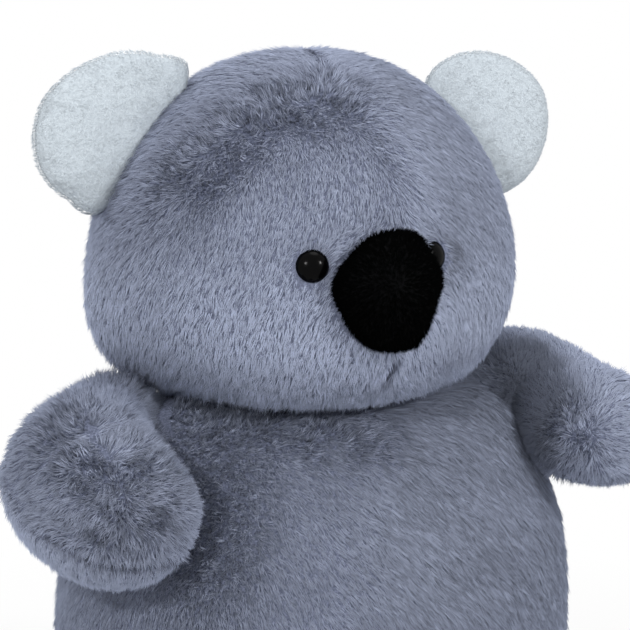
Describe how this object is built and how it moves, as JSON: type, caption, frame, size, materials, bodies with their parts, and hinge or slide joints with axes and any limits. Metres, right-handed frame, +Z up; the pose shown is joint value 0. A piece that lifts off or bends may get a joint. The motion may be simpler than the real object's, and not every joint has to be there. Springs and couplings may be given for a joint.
{
  "type": "plush koala",
  "caption": "Sitting stuffed koala in long-pile fabric with pale padded ears, glossy domed eyes and a short-pile nose pad.",
  "frame": {"origin": "on the flat underside of the base panel, below the neck", "axes": "+Z up, the koala faces -Y, its left side is +X"},
  "size_m": [0.339, 0.2838, 0.4],
  "materials": {
    "grey_pile": "long lilac-grey polyester pile",
    "pale_pile": "short pale blue-white polyester pile",
    "black_pile": "short dense black pile",
    "eye_plastic": "glossy black",
    "washer_plastic": "natural nylon",
    "fibre": "white polyester fibre filling"
  },
  "bodies": {
    "torso": {"torso_cover": "grey_pile", "base_panel": "grey_pile", "torso_filling": "fibre"},
    "neck": {"neck_filling": "fibre"},
    "head": {"head_cover": "grey_pile", "head_filling": "fibre", "nose_cover": "black_pile", "nose_filling": "fibre", "right_eye": "eye_plastic", "right_eye_washer": "washer_plastic", "left_eye": "eye_plastic", "left_eye_washer": "washer_plastic"},
    "right_ear": {"right_ear_front": "pale_pile", "right_ear_back": "grey_pile", "right_ear_wadding": "fibre"},
    "left_ear": {"left_ear_front": "pale_pile", "left_ear_back": "grey_pile", "left_ear_wadding": "fibre"},
    "right_arm": {"right_arm_cover": "grey_pile", "right_arm_filling": "fibre"},
    "left_arm": {"left_arm_cover": "grey_pile", "left_arm_filling": "fibre"},
    "right_leg": {"right_leg_cover": "grey_pile", "right_leg_filling": "fibre", "right_sole": "grey_pile"},
    "left_leg": {"left_leg_cover": "grey_pile", "left_leg_filling": "fibre", "left_sole": "grey_pile"}
  },
  "joints": [
    {"name": "neck_turn", "type": "hinge", "parent": "torso", "child": "neck", "pos_m": [0, -0.002, 0.227], "axis": [0, 0, 1], "range_deg": [-20, 20], "stiffness_Nm_per_rad": 0.6},
    {"name": "neck_nod", "type": "hinge", "parent": "neck", "child": "head", "pos_m": [0, -0.002, 0.227], "axis": [1, 0, 0], "range_deg": [-4, 4], "stiffness_Nm_per_rad": 2.5},
    {"name": "right_ear_fold", "type": "hinge", "parent": "head", "child": "right_ear", "pos_m": [-0.08531, 0.002, 0.35128], "axis": [0.5286, 0.037, 0.8481], "range_deg": [-9, 9], "stiffness_Nm_per_rad": 0.05},
    {"name": "left_ear_fold", "type": "hinge", "parent": "head", "child": "left_ear", "pos_m": [0.08531, 0.002, 0.35128], "axis": [0.5286, -0.037, -0.8481], "range_deg": [-9, 9], "stiffness_Nm_per_rad": 0.05},
    {"name": "right_arm_open", "type": "hinge", "parent": "torso", "child": "right_arm", "pos_m": [-0.10674, -0.006, 0.211], "axis": [0, 0, -1], "range_deg": [0, 25], "stiffness_Nm_per_rad": 0.15},
    {"name": "left_arm_open", "type": "hinge", "parent": "torso", "child": "left_arm", "pos_m": [0.10667, -0.006, 0.211], "axis": [0, 0, 1], "range_deg": [0, 25], "stiffness_Nm_per_rad": 0.15},
    {"name": "right_leg_splay", "type": "hinge", "parent": "torso", "child": "right_leg", "pos_m": [-0.05693, -0.11173, 0.044], "axis": [0, 0, -1], "range_deg": [-10, 15], "stiffness_Nm_per_rad": 0.2},
    {"name": "left_leg_splay", "type": "hinge", "parent": "torso", "child": "left_leg", "pos_m": [0.05693, -0.11173, 0.044], "axis": [0, 0, 1], "range_deg": [-10, 15], "stiffness_Nm_per_rad": 0.2}
  ]
}
